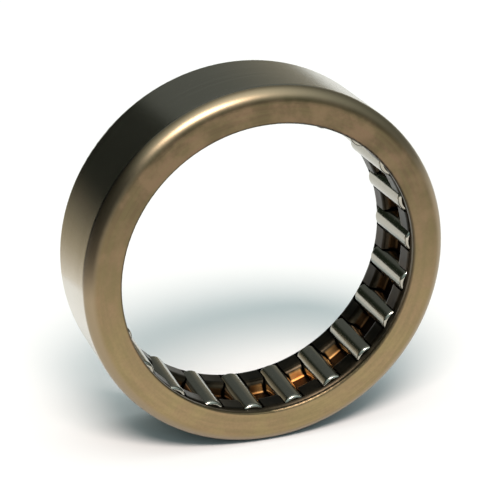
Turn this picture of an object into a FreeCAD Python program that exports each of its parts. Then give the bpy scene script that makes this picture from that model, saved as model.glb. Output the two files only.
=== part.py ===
import FreeCAD, Part
import math
import os

# Needle roller bearing in a drawn cup, open at both ends.
# A hardened sheet steel cup holds a bent sheet cage and twenty-two needle rollers.
# Frame: the bearing's axis is +Y with the front lip at -Y, the origin is the centre of the
# bearing, and +Z is up as the bearing stands on its rim. All sizes are in millimetres.

# Driving dimensions: what a catalogue would state
SHAFT_DIAMETER = 38.0
OUTER_DIAMETER = 48.0
WIDTH = 14.0
ROLLER_DIAMETER = 3.5
ROLLER_COUNT = 22
FIRST_ROLLER_DEG = 3.0

# Drawn cup
RUNNING_CLEARANCE = 0.02
FRONT_CORNER = 2.0
REAR_CORNER = 1.15
INNER_CORNER = 0.4
FRONT_LIP_THICKNESS = 0.9
FRONT_LIP_BORE_RADIUS = 19.46
REAR_LIP_THICKNESS = 1.0
REAR_LIP_BORE_RADIUS = 20.6
LIP_EDGE_ROUNDING = 0.25

# Cage, bent from one strip of sheet into an M profile
SHEET = 0.6
INSIDE_BEND = 0.4
CAGE_END_CLEARANCE = 0.1
CAGE_BORE_RADIUS = 19.48
FLANGE_TOP_RADIUS = 22.2
RECESS_DEPTH = 1.8
RECESS_HALF_LENGTH = 2.45
RECESS_RAMP = 0.3
POCKET_CLEARANCE = 0.2

# Needle rollers, lying against the front ends of their pockets
ROLLER_LENGTH = 10.1
ROLLER_END_CLEARANCE = 0.05
ROLLER_EDGE_ROUNDING = 0.45

# Worked out from the driving dimensions
ROLLER_RADIUS = ROLLER_DIAMETER / 2
OUTER_RADIUS = OUTER_DIAMETER / 2
PITCH_RADIUS = SHAFT_DIAMETER / 2 + ROLLER_RADIUS
RACEWAY_RADIUS = PITCH_RADIUS + ROLLER_RADIUS + RUNNING_CLEARANCE
FRONT_FACE = -WIDTH / 2
REAR_FACE = WIDTH / 2
CAGE_FRONT = FRONT_FACE + FRONT_LIP_THICKNESS + CAGE_END_CLEARANCE
CAGE_REAR = REAR_FACE - REAR_LIP_THICKNESS - CAGE_END_CLEARANCE
POCKET_FRONT = CAGE_FRONT + SHEET
POCKET_REAR = CAGE_REAR - SHEET
ROLLER_FRONT = POCKET_FRONT + ROLLER_END_CLEARANCE

ORIGIN = FreeCAD.Vector(0, 0, 0)
ALONG_AXIS = FreeCAD.Vector(0, 1, 0)


def rounded_outline(corners):
    """Close a wire through corners of (radius, place along the axis, rounding)."""
    count = len(corners)
    turns = []
    for index, (radius, along, rounding) in enumerate(corners):
        here = FreeCAD.Vector(radius, along, 0)
        before = corners[index - 1]
        after = corners[(index + 1) % count]
        back = (FreeCAD.Vector(before[0], before[1], 0) - here).normalize()
        ahead = (FreeCAD.Vector(after[0], after[1], 0) - here).normalize()
        half_angle = back.getAngle(ahead) / 2
        reach = rounding / math.tan(half_angle)
        inward = (back + ahead).normalize()
        crown = here + inward * (rounding / math.sin(half_angle) - rounding)
        turns.append((here + back * reach, crown, here + ahead * reach, rounding))
    edges = []
    for index, (start, crown, end, rounding) in enumerate(turns):
        if rounding > 0:
            edges.append(Part.Arc(start, crown, end).toShape())
        next_start = turns[(index + 1) % count][0]
        edges.append(Part.LineSegment(end, next_start).toShape())
    return Part.Wire(edges)


def turned(corners):
    """Turn a rounded outline once round the bearing's axis."""
    return Part.Face(rounded_outline(corners)).revolve(ORIGIN, ALONG_AXIS, 360)


def sheet_outline(path, thickness, inside_bend):
    """Give a bent strip's corners: the path of its middle, offset to both skins."""
    skins = {1: [], -1: []}
    last = len(path) - 1
    for index, (radius, along) in enumerate(path):
        here = FreeCAD.Vector(radius, along, 0)
        came = here - FreeCAD.Vector(*path[index - 1], 0) if index > 0 else None
        goes = FreeCAD.Vector(*path[index + 1], 0) - here if index < last else None
        came = (came or goes).normalize()
        goes = (goes or came).normalize()
        left = FreeCAD.Vector(-came.y - goes.y, came.x + goes.x, 0).normalize()
        half_turn = came.getAngle(goes) / 2
        turns_left = came.cross(goes).z > 0
        for side, skin in skins.items():
            corner = here + left * (side * thickness / 2 / math.cos(half_turn))
            inside = (side > 0) == turns_left
            bend = inside_bend if inside else inside_bend + thickness
            skin.append((corner.x, corner.y, bend if half_turn > 0 else 0))
    return skins[1] + skins[-1][::-1]


def make_outer_cup():
    """The drawn cup: a thin wall with a lip turned in at each end."""
    return turned([
        (OUTER_RADIUS, FRONT_FACE, FRONT_CORNER),
        (OUTER_RADIUS, REAR_FACE, REAR_CORNER),
        (REAR_LIP_BORE_RADIUS, REAR_FACE, LIP_EDGE_ROUNDING),
        (REAR_LIP_BORE_RADIUS, REAR_FACE - REAR_LIP_THICKNESS, LIP_EDGE_ROUNDING),
        (RACEWAY_RADIUS, REAR_FACE - REAR_LIP_THICKNESS, INNER_CORNER),
        (RACEWAY_RADIUS, FRONT_FACE + FRONT_LIP_THICKNESS, INNER_CORNER),
        (FRONT_LIP_BORE_RADIUS, FRONT_FACE + FRONT_LIP_THICKNESS, LIP_EDGE_ROUNDING),
        (FRONT_LIP_BORE_RADIUS, FRONT_FACE, LIP_EDGE_ROUNDING),
    ])


def roller_places():
    """The centre of each roller's front end, going round the axis."""
    places = []
    for number in range(ROLLER_COUNT):
        angle = math.radians(FIRST_ROLLER_DEG + 360 * number / ROLLER_COUNT)
        places.append(FreeCAD.Vector(
            PITCH_RADIUS * math.cos(angle),
            ROLLER_FRONT,
            PITCH_RADIUS * math.sin(angle),
        ))
    return places


def make_cage():
    """The M-profile cage: end flanges, inner lands and a recess in the middle of each bar."""
    land = CAGE_BORE_RADIUS + SHEET / 2
    floor = land + RECESS_DEPTH
    front = CAGE_FRONT + SHEET / 2
    rear = CAGE_REAR - SHEET / 2
    middle = (CAGE_FRONT + CAGE_REAR) / 2
    ring = turned(sheet_outline([
        (FLANGE_TOP_RADIUS, front),
        (land, front),
        (land, middle - RECESS_HALF_LENGTH),
        (floor, middle - RECESS_HALF_LENGTH + RECESS_RAMP),
        (floor, middle + RECESS_HALF_LENGTH - RECESS_RAMP),
        (land, middle + RECESS_HALF_LENGTH),
        (land, rear),
        (FLANGE_TOP_RADIUS, rear),
    ], SHEET, INSIDE_BEND))
    pockets = []
    for place in roller_places():
        start = FreeCAD.Vector(place.x, POCKET_FRONT, place.z)
        pocket_length = POCKET_REAR - POCKET_FRONT
        pockets.append(Part.makeCylinder(
            ROLLER_RADIUS + POCKET_CLEARANCE, pocket_length, start, ALONG_AXIS))
    return ring.cut(pockets)


def make_roller(place):
    """One needle roller: a ground cylinder with rounded end corners."""
    roller = Part.makeCylinder(ROLLER_RADIUS, ROLLER_LENGTH, place, ALONG_AXIS)
    ends = [edge for edge in roller.Edges if isinstance(edge.Curve, Part.Circle)]
    return roller.makeFillet(ROLLER_EDGE_ROUNDING, ends)


def main():
    parts = {"outer_cup": make_outer_cup(), "cage": make_cage()}
    for number, place in enumerate(roller_places(), start=1):
        parts[f"needle_roller_{number:02d}"] = make_roller(place)
    os.makedirs("parts", exist_ok=True)
    for name, shape in parts.items():
        shape.exportStep(f"parts/{name}.step")
        print(name, "valid", shape.isValid(), "solids", len(shape.Solids), round(shape.Volume, 2))


main()
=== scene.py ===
"""Needle roller bearing in a drawn cup, standing on its rim: looks, light and camera."""
import math

import bpy
from mathutils import Matrix, Vector


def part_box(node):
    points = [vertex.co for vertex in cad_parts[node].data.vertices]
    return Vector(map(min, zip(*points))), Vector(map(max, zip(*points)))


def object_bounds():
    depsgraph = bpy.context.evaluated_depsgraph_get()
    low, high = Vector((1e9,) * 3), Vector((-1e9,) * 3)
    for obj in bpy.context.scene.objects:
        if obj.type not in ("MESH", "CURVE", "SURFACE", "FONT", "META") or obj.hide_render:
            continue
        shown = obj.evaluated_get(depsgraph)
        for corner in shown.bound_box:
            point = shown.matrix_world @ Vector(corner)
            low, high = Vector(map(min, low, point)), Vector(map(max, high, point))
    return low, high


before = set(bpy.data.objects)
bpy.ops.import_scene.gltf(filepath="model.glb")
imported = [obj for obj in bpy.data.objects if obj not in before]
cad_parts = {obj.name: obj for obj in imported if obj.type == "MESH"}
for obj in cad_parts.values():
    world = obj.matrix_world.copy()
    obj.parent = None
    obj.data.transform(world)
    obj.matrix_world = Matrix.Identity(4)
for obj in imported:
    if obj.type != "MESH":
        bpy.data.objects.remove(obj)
cad_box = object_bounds()

MM = 0.001

# The bearing's axis is Y, with the front lip at -Y. Angles round the axis go from +X to +Z.
OUTER_RADIUS = cad_box[1][0]
FRONT_FACE = cad_box[0][1]
FLOOR_HEIGHT = cad_box[0][2]
CAGE_LOW, CAGE_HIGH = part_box("cage")
CAGE_MIDDLE = (CAGE_LOW[1] + CAGE_HIGH[1]) / 2
ROLLER_COUNT = sum(node.startswith("needle_roller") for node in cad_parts)
ROLLER_LOW, ROLLER_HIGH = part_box("needle_roller_01")
FIRST_ROLLER_ANGLE = math.atan2(ROLLER_LOW[2] + ROLLER_HIGH[2], ROLLER_LOW[0] + ROLLER_HIGH[0])

# Sizes of the CAD model that no box gives: two radii, and a distance from the middle
CAGE_BORE_RADIUS = 19.48 * MM
LIP_BORE_RADIUS = 19.46 * MM
LIP_INNER_FACE = 6.0 * MM

# The view: the direction from the bearing to the camera, and how far it stands back
VIEW_AZIMUTH = math.radians(-19.545)
VIEW_ELEVATION = math.radians(22.077)
VIEW_DISTANCE = 9.7182 * OUTER_RADIUS
FRAME_SHIFT_RIGHT = -0.01765 * OUTER_RADIUS
FRAME_SHIFT_UP = 0.01633 * OUTER_RADIUS
FOCAL_OVER_SENSOR = 3.623
SENSOR_MM = 36.0
NEAREST_SEEN = 10 * MM

# The key light: soft and warm, high in front, with its width and height
KEY_AZIMUTH = math.radians(-17)
KEY_ELEVATION = math.radians(53)
KEY_DISTANCE = 0.6
KEY_SIZE = (0.30, 0.16)
KEY_POWER = 3.5
KEY_COLOUR = (1.0, 0.86, 0.80)

# The glow of the room: what is there everywhere, and then for each glow its azimuth and
# elevation in degrees, its sharpness and its colour
ROOM_DIM = (0.03, 0.03, 0.02)
ROOM_GLOWS = [
    (145, 0, 16.0, (0.27, 0.24, 0.18)),
    (90, 40, 3.0, (0.17, 0.22, 0.22)),
    (-90, 40, 3.0, (0.18, 0.22, 0.20)),
    (-17, 45, 3.0, (0.22, 0.36, 0.39)),
    (10, 64, 3.0, (0.62, 0.73, 0.76)),
    (0, 88, 9.0, (0.90, 0.89, 0.88)),
    (180, 35, 4.0, (0.075, 0.085, 0.088)),
]

# A dark corner of the room, low behind the bearing: where it is, the cosines of the angles
# from its middle where it starts and where it is full, and its colour
DARK_CORNER_AZIMUTH = math.radians(204)
DARK_CORNER_ELEVATION = math.radians(8)
DARK_CORNER_COSINES = (0.93, 0.975)
DARK_CORNER_COLOUR = (0.020, 0.028, 0.018)

# The floor glows a little where it is far from the bearing: the distances where the glow
# starts and where it is full
FLOOR_HALF_SIZE = 6.0
FLOOR_WHITE = (0.88, 0.88, 0.88)
FLOOR_GLOW = (0.46, 0.42, 0.40)
FLOOR_GLOW_REACH = (0.03, 0.42)

# A dark card, out of the picture behind the bearing on the left, that the outside of the cup
# mirrors: its two ends on the floor and its top, then the glow along its foot, with the height
# where the glow ends, how fast it fades upwards, and how far down it the foot's colour starts
CARD_ENDS = ((-0.0228, 0.056), (-0.074, 0.039))
CARD_TOP = 0.065
CARD_BLACK = (0.008, 0.010, 0.007)
CARD_GLOW = (0.78, 0.68, 0.49)
CARD_FOOT_GLOW = (0.90, 0.84, 0.74)
CARD_GLOW_TOP = 0.014
CARD_GLOW_FADE = 1.4
CARD_FOOT_STARTS = 0.6

# Both the floor and the card are matt
MATT_ROUGHNESS = 0.9
MATT_SPECULAR = 0.1


def direction(azimuth, elevation):
    """The unit vector at an azimuth, 0 in front and positive to the right, and an elevation."""
    return Vector((math.sin(azimuth) * math.cos(elevation),
                   -math.cos(azimuth) * math.cos(elevation),
                   math.sin(elevation)))


def round_axis(angle):
    """The unit vector across the bearing's axis at an angle from +X towards +Z."""
    return direction(math.radians(90), angle)


# ---------------------------------------------------------------- shading helpers

class Shading:
    """Short names for the nodes that the materials are made of."""

    def __init__(self, tree):
        self.tree = tree

    def node(self, kind, **settings):
        """Add a node, with its properties and the values of its inputs by name."""
        node = self.tree.nodes.new(kind)
        for key, value in settings.items():
            if key in node.inputs:
                node.inputs[key].default_value = value
            else:
                setattr(node, key, value)
        return node

    def feed(self, socket, value):
        """Link a socket to an input, or set the input to a number or a colour."""
        if isinstance(value, bpy.types.NodeSocket):
            self.tree.links.new(value, socket)
        elif isinstance(value, (int, float)):
            socket.default_value = value
        else:
            socket.default_value = (*value, 1.0) if socket.type == "RGBA" else value

    def calculate(self, operation, first, second=0.0):
        """One operation on one or two values."""
        node = self.node("ShaderNodeMath", operation=operation)
        self.feed(node.inputs[0], first)
        self.feed(node.inputs[1], second)
        return node.outputs[0]

    def plus(self, first, second):
        return self.calculate("ADD", first, second)

    def times(self, first, second):
        return self.calculate("MULTIPLY", first, second)

    def remap(self, value, low, high, out_low=0.0, out_high=1.0):
        """Map one range to another, smoothly and held at both ends."""
        node = self.node("ShaderNodeMapRange", interpolation_type="SMOOTHSTEP")
        self.feed(node.inputs["Value"], value)
        self.feed(node.inputs["From Min"], low)
        self.feed(node.inputs["From Max"], high)
        self.feed(node.inputs["To Min"], out_low)
        self.feed(node.inputs["To Max"], out_high)
        return node.outputs["Result"]

    def mix(self, factor, first, second, blend="MIX"):
        """Mix two colours."""
        node = self.node("ShaderNodeMix", data_type="RGBA", blend_type=blend)
        inputs = {socket.identifier: socket for socket in node.inputs}
        self.feed(inputs["Factor_Float"], factor)
        self.feed(inputs["A_Color"], first)
        self.feed(inputs["B_Color"], second)
        return {socket.identifier: socket for socket in node.outputs}["Result_Color"]

    def noise(self, vector, scale, detail):
        """A noise value between 0 and 1, with its scale in features per unit of the vector."""
        node = self.node("ShaderNodeTexNoise", Scale=scale, Detail=detail, Roughness=0.55)
        self.feed(node.inputs["Vector"], vector)
        return node.outputs["Fac"]

    def dot(self, vector, other):
        """The dot product with a constant vector."""
        node = self.node("ShaderNodeVectorMath", operation="DOT_PRODUCT")
        self.feed(node.inputs[0], vector)
        node.inputs[1].default_value = other
        return node.outputs["Value"]

    def combine(self, x, y, z):
        """A vector from three values."""
        node = self.node("ShaderNodeCombineXYZ")
        for socket, value in zip(node.inputs, (x, y, z)):
            self.feed(socket, value)
        return node.outputs[0]

    def bump(self, height, distance):
        """A bump normal from a height between 0 and 1 and its depth in metres."""
        node = self.node("ShaderNodeBump", Distance=distance)
        self.feed(node.inputs["Height"], height)
        return node.outputs["Normal"]


class MaterialShading(Shading):
    """The nodes of a new material, with its shader and the place on the object."""

    def __init__(self, name):
        self.material = bpy.data.materials.new(name)
        self.material.use_nodes = True
        super().__init__(self.material.node_tree)
        self.shader = self.tree.nodes["Principled BSDF"]
        self.place = self.node("ShaderNodeTexCoord").outputs["Object"]

    def set(self, name, value):
        """Set an input of the shader by its name."""
        self.feed(self.shader.inputs[name], value)


class BearingShading(MaterialShading):
    """A metal of the bearing, with places across, along and round the bearing's axis."""

    def __init__(self, name):
        super().__init__(name)
        split = self.node("ShaderNodeSeparateXYZ")
        self.feed(split.inputs[0], self.place)
        self.x, self.y, self.z = split.outputs
        squares = self.plus(self.times(self.x, self.x), self.times(self.z, self.z))
        self.radius = self.calculate("SQRT", squares)
        self.angle = self.calculate("ARCTAN2", self.z, self.x)
        self.set("Metallic", 1.0)

    def turned(self, around, along, outward):
        """Coordinates for marks round the axis, in features per radian and per metre."""
        return self.combine(self.times(self.angle, around),
                            self.times(self.y, along),
                            self.times(self.radius, outward))

    def closeness(self, angle):
        """The cosine of the angle round the axis between here and one angle."""
        return self.calculate("DIVIDE", self.dot(self.place, round_axis(angle)), self.radius)


# Most of a noise lies between these two values
NOISE_LIMITS = (0.3, 0.7)


# ---------------------------------------------------------------- the cup

# Where each mask on the cup starts and where it is full: radii, and places along the axis
OUTSIDE_RADII = (OUTER_RADIUS - 0.30 * MM, OUTER_RADIUS - 0.02 * MM)
OUTSIDE_ALONG = (FRONT_FACE + 1.4 * MM, FRONT_FACE + 1.9 * MM)
CORNER_RADII = (OUTER_RADIUS - 1.5 * MM, OUTER_RADIUS - 0.7 * MM)
LIP_EDGE_SHADE_RADII = (LIP_BORE_RADIUS + 0.35 * MM, LIP_BORE_RADIUS + 0.1 * MM)
TRACK_RADII = (OUTER_RADIUS - 0.5 * MM, OUTER_RADIUS - 0.9 * MM)
TRACK_FROM_MIDDLE = (LIP_INNER_FACE + 0.1 * MM, LIP_INNER_FACE - 0.2 * MM)

# Painted dark reflection on the front corner, where it mirrors a dark part of the room on the left:
# the angle of the middle of the patch, the cosines of the angles from there where it starts and
# where it is full, and the same along the axis
DARK_REFLECTION_ANGLE = math.radians(155)
DARK_REFLECTION_COSINES = (0.883, 0.990)
DARK_REFLECTION_ALONG = (FRONT_FACE + 2.1 * MM, FRONT_FACE + 1.7 * MM)
DARK_REFLECTION_STRENGTH = 0.8
DARK_REFLECTION_COLOUR = (0.010, 0.007, 0.005)

# Painted light and shade: the bronze goes from its top to its bottom colour between two heights,
# painted darker at the top, in shade, and lighter at the bottom, lit from the floor
BRONZE_SHADE_HEIGHTS = (0.7 * OUTER_RADIUS, -0.8 * OUTER_RADIUS)
BRONZE_SHADED_AT_TOP = (0.112, 0.083, 0.047)
BRONZE_FLOOR_LIT_AT_BOTTOM = (0.342, 0.256, 0.128)
BRONZE_ON_CORNER = (0.30, 0.232, 0.148)
# Painted shade: a dark line along the lip's inner edge
LIP_EDGE_SHADE = (0.03, 0.025, 0.02)
LIP_EDGE_SHADE_STRENGTH = 0.6
# Painted shade: the track inside the cup, where the rollers and lips shade it, is near black
TRACK_SHADE = (0.035, 0.032, 0.026)
OUTSIDE_GREYS = ((0.52, 0.48, 0.40), (0.58, 0.54, 0.465))

# Marks: how many there are to the metre, or for marks that run round the axis, how many to
# the radian round it, to the metre along it and to the metre outwards
BLOTCHES_PER_METRE = 330
GRAINS_PER_METRE = 2600
RINGS_TURNED = (2.5, 0, 1500)
STREAKS_TURNED = (1.5, 5200, 5200)

# Marks in the bronze: the noise values between which each comes in, its strength, its colour
BLOTCHES = ((0.36, 0.66), 0.4, (0.30, 0.19, 0.12))
RINGS = ((0.35, 0.65), 0.3, (0.17, 0.15, 0.07))
GRAIN = ((0.3, 0.75), 0.15, (0.14, 0.10, 0.06))

LIP_ROUGHNESS = 0.31
OUTSIDE_ROUGHNESS = 0.18
GRAIN_ROUGHER = 0.08
GRAIN_HEIGHT = 0.3
STREAK_HEIGHT = 0.22
CUP_BUMP = 0.006 * MM


def bronze_tint_and_shade(look, corner, grain):
    """The heat tint with its marks, with painted shade at the top, painted floor light at the
    bottom and painted shade at the lip's inner edge.
    """
    blotches = look.noise(look.place, BLOTCHES_PER_METRE, detail=4)
    rings = look.noise(look.turned(*RINGS_TURNED), 1.0, detail=3)
    # Painted light and shade: darker at the top, lighter towards the bottom where the floor lights
    # the lip
    tint = look.mix(look.remap(look.z, *BRONZE_SHADE_HEIGHTS), BRONZE_SHADED_AT_TOP, BRONZE_FLOOR_LIT_AT_BOTTOM)
    for marks, (limits, strength, colour) in ((blotches, BLOTCHES), (rings, RINGS), (grain, GRAIN)):
        tint = look.mix(look.remap(marks, *limits, 0.0, strength), tint, colour)
    tint = look.mix(corner, tint, BRONZE_ON_CORNER)
    # Painted shade along the lip's inner edge
    edge = look.remap(look.radius, *LIP_EDGE_SHADE_RADII, 0.0, LIP_EDGE_SHADE_STRENGTH)
    return look.mix(edge, tint, LIP_EDGE_SHADE)


def dark_reflection_mask(look, corner):
    """How much painted dark reflection lies on the front corner, where it mirrors a dark part of
    the room.
    """
    around = look.remap(look.closeness(DARK_REFLECTION_ANGLE), *DARK_REFLECTION_COSINES, 0.0, DARK_REFLECTION_STRENGTH)
    return look.times(look.times(corner, around), look.remap(look.y, *DARK_REFLECTION_ALONG))


def track_shade_mask(look):
    """Where shade is painted on the inside of the cup, between the lips."""
    inside = look.remap(look.calculate("ABSOLUTE", look.y), *TRACK_FROM_MIDDLE)
    return look.times(inside, look.remap(look.radius, *TRACK_RADII))


def cup_steel():
    """Drawn steel: bronze on the lips and corners, brushed grey outside, with painted shade on the
    track inside and on the bronze, and a painted dark reflection on the front corner.
    """
    look = BearingShading("cup_steel")
    outside = look.times(look.remap(look.radius, *OUTSIDE_RADII),
                         look.remap(look.y, *OUTSIDE_ALONG))
    corner = look.remap(look.radius, *CORNER_RADII)
    grain = look.noise(look.place, GRAINS_PER_METRE, detail=3)
    streaks = look.noise(look.turned(*STREAKS_TURNED), 1.0, detail=4)
    grey = look.mix(look.remap(streaks, *NOISE_LIMITS), *OUTSIDE_GREYS)
    # Painted shade on the track inside the cup
    bronze = look.mix(track_shade_mask(look), bronze_tint_and_shade(look, corner, grain), TRACK_SHADE)
    before_dark_reflection = look.mix(outside, bronze, grey)
    # Painted dark reflection on the front corner
    look.set("Base Color", look.mix(dark_reflection_mask(look, corner), before_dark_reflection, DARK_REFLECTION_COLOUR))
    roughness = look.remap(outside, 0, 1, LIP_ROUGHNESS, OUTSIDE_ROUGHNESS)
    look.set("Roughness", look.plus(roughness, look.times(grain, GRAIN_ROUGHER)))
    height = look.plus(look.times(grain, GRAIN_HEIGHT), look.times(streaks, STREAK_HEIGHT))
    look.set("Normal", look.bump(height, CUP_BUMP))
    return look.material


# ---------------------------------------------------------------- the cage

# Where the recesses start and are full: radii, and distances from the middle of the cage
RECESS_RADII = (CAGE_BORE_RADIUS + 0.45 * MM, CAGE_BORE_RADIUS + 0.85 * MM)
RECESS_FROM_MIDDLE = (2.9 * MM, 2.6 * MM)
RECESS_WALL_FROM_MIDDLE = (1.65 * MM, 1.85 * MM)

# A cosine that is 1 at each roller and -1 in the middle of each bar: where the bars start
BAR_COSINES = (-0.5, -0.7)

# Painted glint: the copper on the recesses' end walls is painted bright only round one angle of the
# cage, where the key light falls on them: that angle, how far to each side it fades and to what,
# and the cosine of the angle from its middle where it is full
COPPER_GLINT_ANGLE = math.radians(-70)
COPPER_GLINT_REACH = math.radians(21)
COPPER_GLINT_FULL_COSINE = 0.995
COPPER_AWAY_FROM_GLINT = 0.05

# Each colour of the cage goes from its first to its second tone in patches, between two
# values of their noise
PATCHES_PER_METRE = 500
BLACK_LIMITS = (0.35, 0.7)
COPPER_LIMITS = (0.35, 0.65)
CAGE_BLACKS = ((0.019, 0.015, 0.010), (0.044, 0.034, 0.022))
# Painted shade: the recesses are darker than the rest of the cage
RECESS_SHADED_BLACKS = ((0.007, 0.004, 0.003), (0.016, 0.008, 0.006))
COPPERS = ((1.0, 0.42, 0.12), (1.0, 0.58, 0.22))

CAGE_ROUGHNESSES = (0.28, 0.38)
RECESS_ROUGHER = 0.12
COPPER_ROUGHER = 0.18
CAGE_BUMP = 0.01 * MM


def copper_glint_mask(look, recessed, from_middle):
    """How much copper shows: on the end walls of the recesses in the bars, bright as a painted
    glint only near one angle.
    """
    wall = look.times(recessed, look.remap(from_middle, *RECESS_WALL_FROM_MIDDLE))
    turns = look.times(look.calculate("SUBTRACT", look.angle, FIRST_ROLLER_ANGLE), ROLLER_COUNT)
    on_bar = look.remap(look.calculate("COSINE", turns), *BAR_COSINES)
    # Painted glint: the copper stays bright only near one angle, where the light falls
    near_glint = look.remap(look.closeness(COPPER_GLINT_ANGLE), math.cos(COPPER_GLINT_REACH), COPPER_GLINT_FULL_COSINE,
                      COPPER_AWAY_FROM_GLINT, 1.0)
    return look.times(look.times(wall, on_bar), near_glint)


def cage_steel():
    """Blackened, oily sheet steel with painted shade in the bars' recesses, and copper on the
    recesses' end walls painted as a glint near one angle.
    """
    look = BearingShading("cage_steel")
    from_middle = look.calculate("ABSOLUTE", look.calculate("SUBTRACT", look.y, CAGE_MIDDLE))
    recessed = look.times(look.remap(look.radius, *RECESS_RADII),
                          look.remap(from_middle, *RECESS_FROM_MIDDLE))
    copper = copper_glint_mask(look, recessed, from_middle)
    patches = look.noise(look.place, PATCHES_PER_METRE, detail=4)
    black_patches = look.remap(patches, *BLACK_LIMITS)
    # Painted shade in the recesses
    steel = look.mix(recessed, look.mix(black_patches, *CAGE_BLACKS),
                     look.mix(black_patches, *RECESS_SHADED_BLACKS))
    plating = look.mix(look.remap(patches, *COPPER_LIMITS), *COPPERS)
    # The copper shows where the painted glint lies
    look.set("Base Color", look.mix(copper, steel, plating))
    rougher = look.plus(look.times(recessed, RECESS_ROUGHER), look.times(copper, COPPER_ROUGHER))
    roughness = look.remap(patches, *NOISE_LIMITS, *CAGE_ROUGHNESSES)
    look.set("Roughness", look.plus(roughness, rougher))
    look.set("Normal", look.bump(patches, CAGE_BUMP))
    return look.material


# ---------------------------------------------------------------- the rollers

ROLLER_GRAINS_PER_METRE = 3000
ROLLER_GREYS = ((0.36, 0.34, 0.29), (0.43, 0.41, 0.35))
ROLLER_ROUGHNESSES = (0.12, 0.2)


def roller_steel():
    """Ground and polished bearing steel."""
    look = BearingShading("roller_steel")
    grain = look.noise(look.place, ROLLER_GRAINS_PER_METRE, detail=2)
    look.set("Base Color", look.mix(grain, *ROLLER_GREYS))
    look.set("Roughness", look.remap(grain, *NOISE_LIMITS, *ROLLER_ROUGHNESSES))
    return look.material


def give(node, material):
    """Put one material on a CAD node."""
    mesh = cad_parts[node].data
    mesh.materials.clear()
    mesh.materials.append(material)


def dress_nodes():
    """Give every CAD node its material."""
    rollers = roller_steel()
    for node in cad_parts:
        if node.startswith("needle_roller"):
            give(node, rollers)
    give("outer_cup", cup_steel())
    give("cage", cage_steel())


# ---------------------------------------------------------------- stage, light, camera

def matt_shading(name, colour):
    """A new matt material of one colour, ready for a glow."""
    look = MaterialShading(name)
    look.set("Base Color", colour)
    look.set("Roughness", MATT_ROUGHNESS)
    look.set("Specular IOR Level", MATT_SPECULAR)
    return look


def add_sheet(name, corners, material):
    """Add a flat sheet with four corners."""
    mesh = bpy.data.meshes.new(name)
    mesh.from_pydata(corners, [], [(0, 1, 2, 3)])
    mesh.materials.append(material)
    sheet = bpy.data.objects.new(name, mesh)
    bpy.context.scene.collection.objects.link(sheet)
    return sheet


def make_floor():
    """A pale floor that the rim stands on, with a glow that grows with the distance."""
    look = matt_shading("floor_white", FLOOR_WHITE)
    distance = look.node("ShaderNodeVectorMath", operation="LENGTH")
    look.feed(distance.inputs[0], look.place)
    look.set("Emission Color", FLOOR_GLOW)
    look.set("Emission Strength", look.remap(distance.outputs["Value"], *FLOOR_GLOW_REACH))
    half = FLOOR_HALF_SIZE
    corners = [(-half, -half, FLOOR_HEIGHT), (half, -half, FLOOR_HEIGHT),
               (half, half, FLOOR_HEIGHT), (-half, half, FLOOR_HEIGHT)]
    floor = add_sheet("floor", corners, look.material)


def card_foot(look):
    """How near the card's foot this is: 0 at the top of its glow and 1 on the floor."""
    split = look.node("ShaderNodeSeparateXYZ")
    look.feed(split.inputs[0], look.place)
    node = look.node("ShaderNodeMapRange")
    look.feed(node.inputs["Value"], split.outputs["Z"])
    look.feed(node.inputs["From Min"], CARD_GLOW_TOP)
    look.feed(node.inputs["From Max"], FLOOR_HEIGHT)
    return node.outputs["Result"]


def make_card():
    """A dark upright card that only reflections see."""
    look = matt_shading("card_black", CARD_BLACK)
    foot = card_foot(look)
    near_foot = look.remap(foot, CARD_FOOT_STARTS, 1.0)
    look.set("Emission Color", look.mix(near_foot, CARD_GLOW, CARD_FOOT_GLOW))
    look.set("Emission Strength", look.calculate("POWER", foot, CARD_GLOW_FADE))
    (right_x, right_y), (left_x, left_y) = CARD_ENDS
    corners = [(right_x, right_y, FLOOR_HEIGHT), (left_x, left_y, FLOOR_HEIGHT),
               (left_x, left_y, CARD_TOP), (right_x, right_y, CARD_TOP)]
    card = add_sheet("dark_card", corners, look.material)
    card.visible_camera = False
    card.visible_diffuse = False
    card.visible_shadow = False


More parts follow.
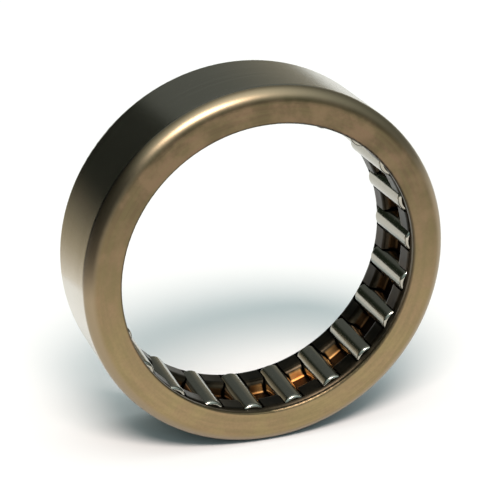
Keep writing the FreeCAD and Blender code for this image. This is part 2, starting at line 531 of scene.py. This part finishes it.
def make_key():
    """One warm soft oval light above the camera, aimed at the middle of the bearing."""
    light = bpy.data.lights.new("key", "AREA")
    light.shape = "ELLIPSE"
    light.size, light.size_y = KEY_SIZE
    light.energy = KEY_POWER
    light.color = KEY_COLOUR
    towards = direction(KEY_AZIMUTH, KEY_ELEVATION)
    lamp = bpy.data.objects.new("key", light)
    lamp.location = towards * KEY_DISTANCE
    lamp.rotation_euler = (-towards).to_track_quat("-Z", "Y").to_euler()
    bpy.context.scene.collection.objects.link(lamp)


def make_room():
    """The room: brightest overhead and high in front, with one dark corner low behind."""
    world = bpy.data.worlds.new("room")
    bpy.context.scene.world = world
    world.use_nodes = True
    look = Shading(world.node_tree)
    looks_at = look.node("ShaderNodeTexCoord").outputs["Generated"]
    colour = ROOM_DIM
    for azimuth, elevation, sharpness, glow in ROOM_GLOWS:
        towards = direction(math.radians(azimuth), math.radians(elevation))
        facing = look.calculate("MAXIMUM", look.dot(looks_at, towards), 0.0)
        colour = look.mix(look.calculate("POWER", facing, sharpness), colour, glow, "ADD")
    dark_corner = look.dot(looks_at, direction(DARK_CORNER_AZIMUTH, DARK_CORNER_ELEVATION))
    colour = look.mix(look.remap(dark_corner, *DARK_CORNER_COSINES), colour, DARK_CORNER_COLOUR)
    look.feed(world.node_tree.nodes["Background"].inputs["Color"], colour)


def make_camera():
    """Stand the camera to the left of the axis and above it, looking a little past the centre."""
    back = direction(VIEW_AZIMUTH, VIEW_ELEVATION)
    right = (-back).cross(Vector((0, 0, 1))).normalized()
    up = right.cross(-back)
    data = bpy.data.cameras.new("camera")
    data.sensor_width = SENSOR_MM
    data.lens = FOCAL_OVER_SENSOR * SENSOR_MM
    data.clip_start = NEAREST_SEEN
    camera = bpy.data.objects.new("camera", data)
    place = back * VIEW_DISTANCE + right * FRAME_SHIFT_RIGHT + up * FRAME_SHIFT_UP
    turn = Matrix((right, up, back)).transposed().to_4x4()
    camera.matrix_world = Matrix.Translation(place) @ turn
    bpy.context.scene.collection.objects.link(camera)
    bpy.context.scene.camera = camera


make_camera()
make_floor()
make_card()
make_key()
make_room()
dress_nodes()
bpy.context.scene.view_settings.view_transform = "Standard"
bpy.context.scene.cycles.caustics_reflective = False
